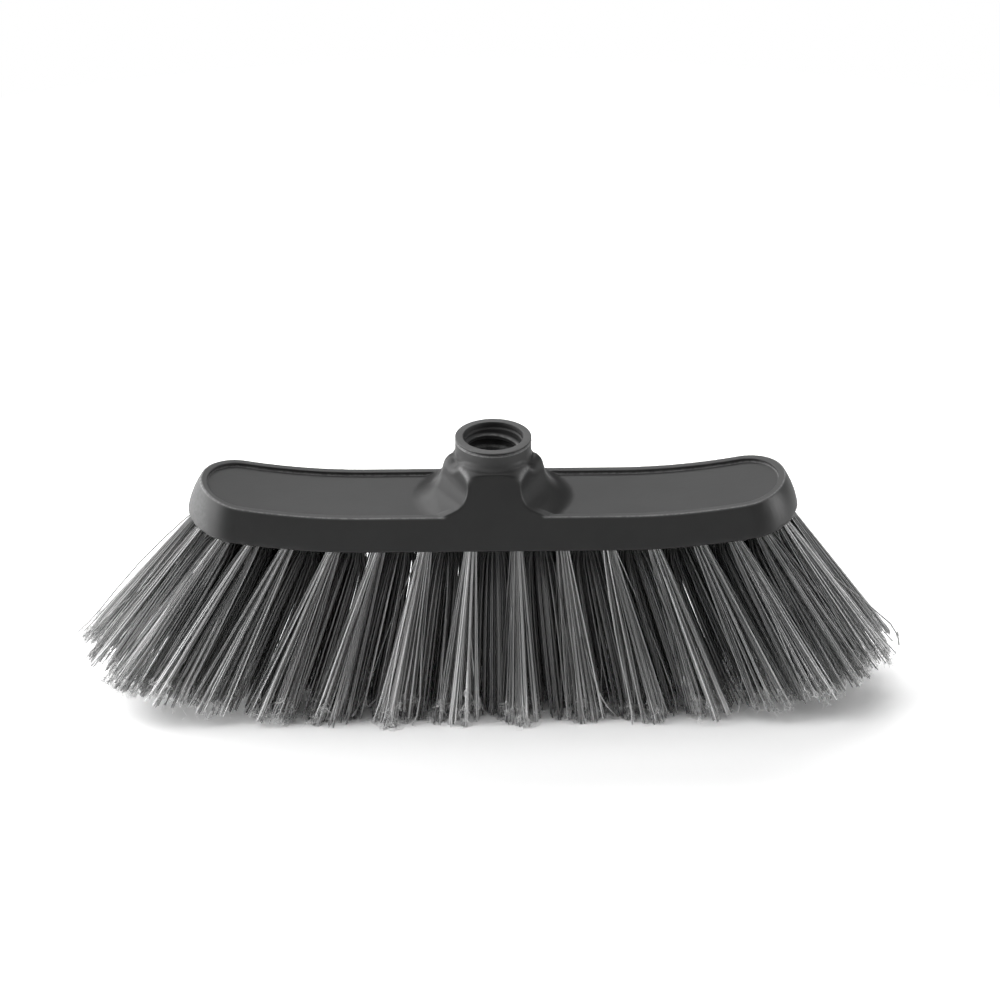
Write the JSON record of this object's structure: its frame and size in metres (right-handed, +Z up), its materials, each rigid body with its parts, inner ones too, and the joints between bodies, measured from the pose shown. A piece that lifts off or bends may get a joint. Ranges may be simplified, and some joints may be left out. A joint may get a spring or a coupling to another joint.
{
  "type": "broom head",
  "caption": "Broom head with a long moulded block, a threaded handle socket on top and staggered rows of fanned synthetic filament tufts.",
  "frame": {"origin": "on the floor under the middle of the block, in line with the handle socket", "axes": "+X along the block to the right as seen from the front, -Y is the front, +Z up out of the handle socket"},
  "size_m": [0.3303, 0.0698, 0.115],
  "materials": {
    "block_plastic": "injection-moulded polypropylene, dark grey, satin with a fine moulded texture",
    "grey_filament": "drawn synthetic filament, mixed light and dark grey, semi-gloss with split dull tips"
  },
  "bodies": {
    "root": {"block": "block_plastic", "tuft_front_01": "grey_filament", "tuft_front_02": "grey_filament", "tuft_front_03": "grey_filament", "tuft_front_04": "grey_filament", "tuft_front_05": "grey_filament", "tuft_front_06": "grey_filament", "tuft_front_07": "grey_filament", "tuft_front_08": "grey_filament", "tuft_front_09": "grey_filament", "tuft_front_10": "grey_filament", "tuft_second_01": "grey_filament", "tuft_second_02": "grey_filament", "tuft_second_03": "grey_filament", "tuft_second_04": "grey_filament", "tuft_second_05": "grey_filament", "tuft_second_06": "grey_filament", "tuft_second_07": "grey_filament", "tuft_second_08": "grey_filament", "tuft_second_09": "grey_filament", "tuft_second_10": "grey_filament", "tuft_second_11": "grey_filament", "tuft_second_12": "grey_filament", "tuft_second_13": "grey_filament", "tuft_third_01": "grey_filament", "tuft_third_02": "grey_filament", "tuft_third_03": "grey_filament", "tuft_third_04": "grey_filament", "tuft_third_05": "grey_filament", "tuft_third_06": "grey_filament", "tuft_third_07": "grey_filament", "tuft_third_08": "grey_filament", "tuft_third_09": "grey_filament", "tuft_third_10": "grey_filament", "tuft_third_11": "grey_filament", "tuft_third_12": "grey_filament", "tuft_back_01": "grey_filament", "tuft_back_02": "grey_filament", "tuft_back_03": "grey_filament", "tuft_back_04": "grey_filament", "tuft_back_05": "grey_filament", "tuft_back_06": "grey_filament", "tuft_back_07": "grey_filament", "tuft_back_08": "grey_filament", "tuft_back_09": "grey_filament", "tuft_back_10": "grey_filament", "tuft_back_11": "grey_filament", "tuft_left_end_1": "grey_filament", "tuft_left_end_2": "grey_filament", "tuft_left_end_3": "grey_filament", "tuft_left_end_4": "grey_filament", "tuft_left_end_5": "grey_filament", "tuft_left_end_6": "grey_filament", "tuft_right_end_1": "grey_filament", "tuft_right_end_2": "grey_filament", "tuft_right_end_3": "grey_filament", "tuft_right_end_4": "grey_filament", "tuft_right_end_5": "grey_filament", "tuft_right_end_6": "grey_filament"}
  },
  "joints": []
}
